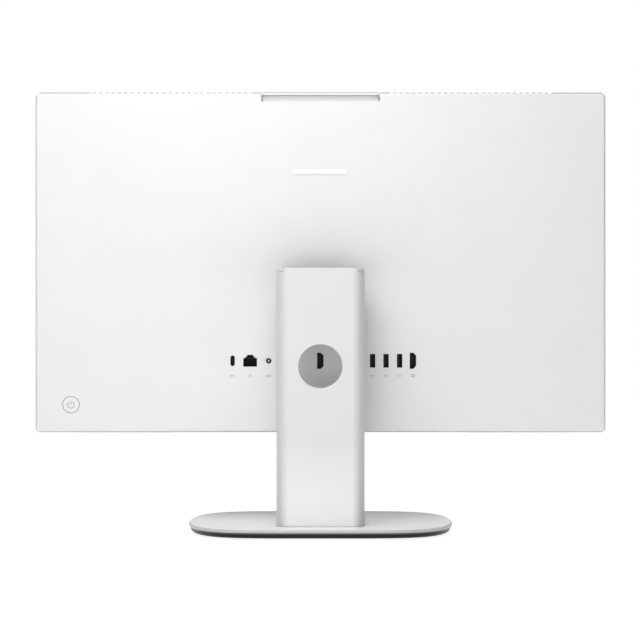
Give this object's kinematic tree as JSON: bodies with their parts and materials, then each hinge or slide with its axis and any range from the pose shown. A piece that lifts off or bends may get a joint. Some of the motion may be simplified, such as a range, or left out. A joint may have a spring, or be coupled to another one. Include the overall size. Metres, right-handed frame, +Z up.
{
  "type": "all-in-one desktop computer",
  "caption": "Flat screen computer head that tilts on a box column over an oval weighted base, with rear sockets, a pull-up camera and a cable hole through the column.",
  "frame": {"origin": "centre of the bounding box on the plane of the feet", "axes": "+X to the left of someone facing the rear, +Y out of the rear (connector side), +Z up; the screen looks along -Y"},
  "size_m": [0.543, 0.2, 0.4162],
  "materials": {
    "white_plastic": "satin",
    "grey_plastic": "satin",
    "black_gloss": "gloss",
    "black_plastic": "matte",
    "screen_glass": "gloss",
    "screen_panel": "satin",
    "steel": "satin",
    "dark_steel": "satin",
    "aluminium": "satin",
    "copper": "satin",
    "brass": "satin",
    "circuit_board": "satin",
    "rubber": "matte"
  },
  "bodies": {
    "stand": {"base_top_shell": "white_plastic", "base_skirt": "black_gloss", "base_weight_plate": "dark_steel", "foot_1": "rubber", "foot_2": "rubber", "foot_3": "rubber", "foot_4": "rubber", "stand_thumbscrew": "steel", "column_rear_shell": "white_plastic", "column_front_shell": "white_plastic", "column_top_cap": "grey_plastic", "cable_sleeve": "white_plastic", "column_spine": "steel", "column_foot_block": "dark_steel", "hinge_bracket": "dark_steel", "hinge_shaft": "steel", "hinge_nut": "steel", "hinge_washer_left": "brass", "hinge_washer_right": "brass"},
    "head": {"rear_cover": "white_plastic", "mid_frame": "grey_plastic", "front_bezel": "black_plastic", "display_glass": "screen_glass", "lcd_panel": "screen_panel", "chassis_plate": "steel", "motherboard": "circuit_board", "processor": "aluminium", "heatsink": "aluminium", "heat_pipe": "copper", "fan_housing": "black_plastic", "fin_stack": "aluminium", "memory_module_1": "circuit_board", "memory_module_2": "circuit_board", "storage_drive": "circuit_board", "wireless_card": "steel", "coin_cell": "steel", "antenna_left": "brass", "antenna_right": "brass", "speaker_left": "black_plastic", "speaker_right": "black_plastic", "speaker_grille_left": "white_plastic", "speaker_grille_right": "white_plastic", "usb_c_port": "steel", "ethernet_port": "black_plastic", "power_inlet": "black_plastic", "hdmi_out_port": "steel", "hdmi_in_port": "steel", "usb_a_port_1": "steel", "usb_a_port_2": "steel", "usb_a_port_3": "steel", "button_board": "circuit_board", "hinge_arm": "dark_steel", "camera_rail_left": "black_plastic", "camera_rail_right": "black_plastic", "trim_bar": "white_plastic"},
    "camera": {"camera_housing": "white_plastic", "camera_lens": "screen_glass", "camera_board": "circuit_board"},
    "power_button": {"power_button": "white_plastic"},
    "fan_rotor": {"fan_rotor": "black_plastic"}
  },
  "joints": [
    {"name": "head_tilt", "type": "hinge", "parent": "stand", "child": "head", "pos_m": [0, 0.007, 0.215], "axis": [-1, 0, 0], "range_deg": [-5, 20]},
    {"name": "camera_lift", "type": "slide", "parent": "head", "child": "camera", "axis": [0, 0, 1], "range_m": [0, 0.0155]},
    {"name": "power_button_press", "type": "slide", "parent": "head", "child": "power_button", "axis": [0, -1, 0], "range_m": [0, 0.0009], "stiffness_N_per_m": 1500, "springref_m": -0.001},
    {"name": "fan_spin", "type": "hinge", "parent": "head", "child": "fan_rotor", "pos_m": [0.165, -0.02, 0.33], "axis": [0, 1, 0], "continuous": true}
  ]
}
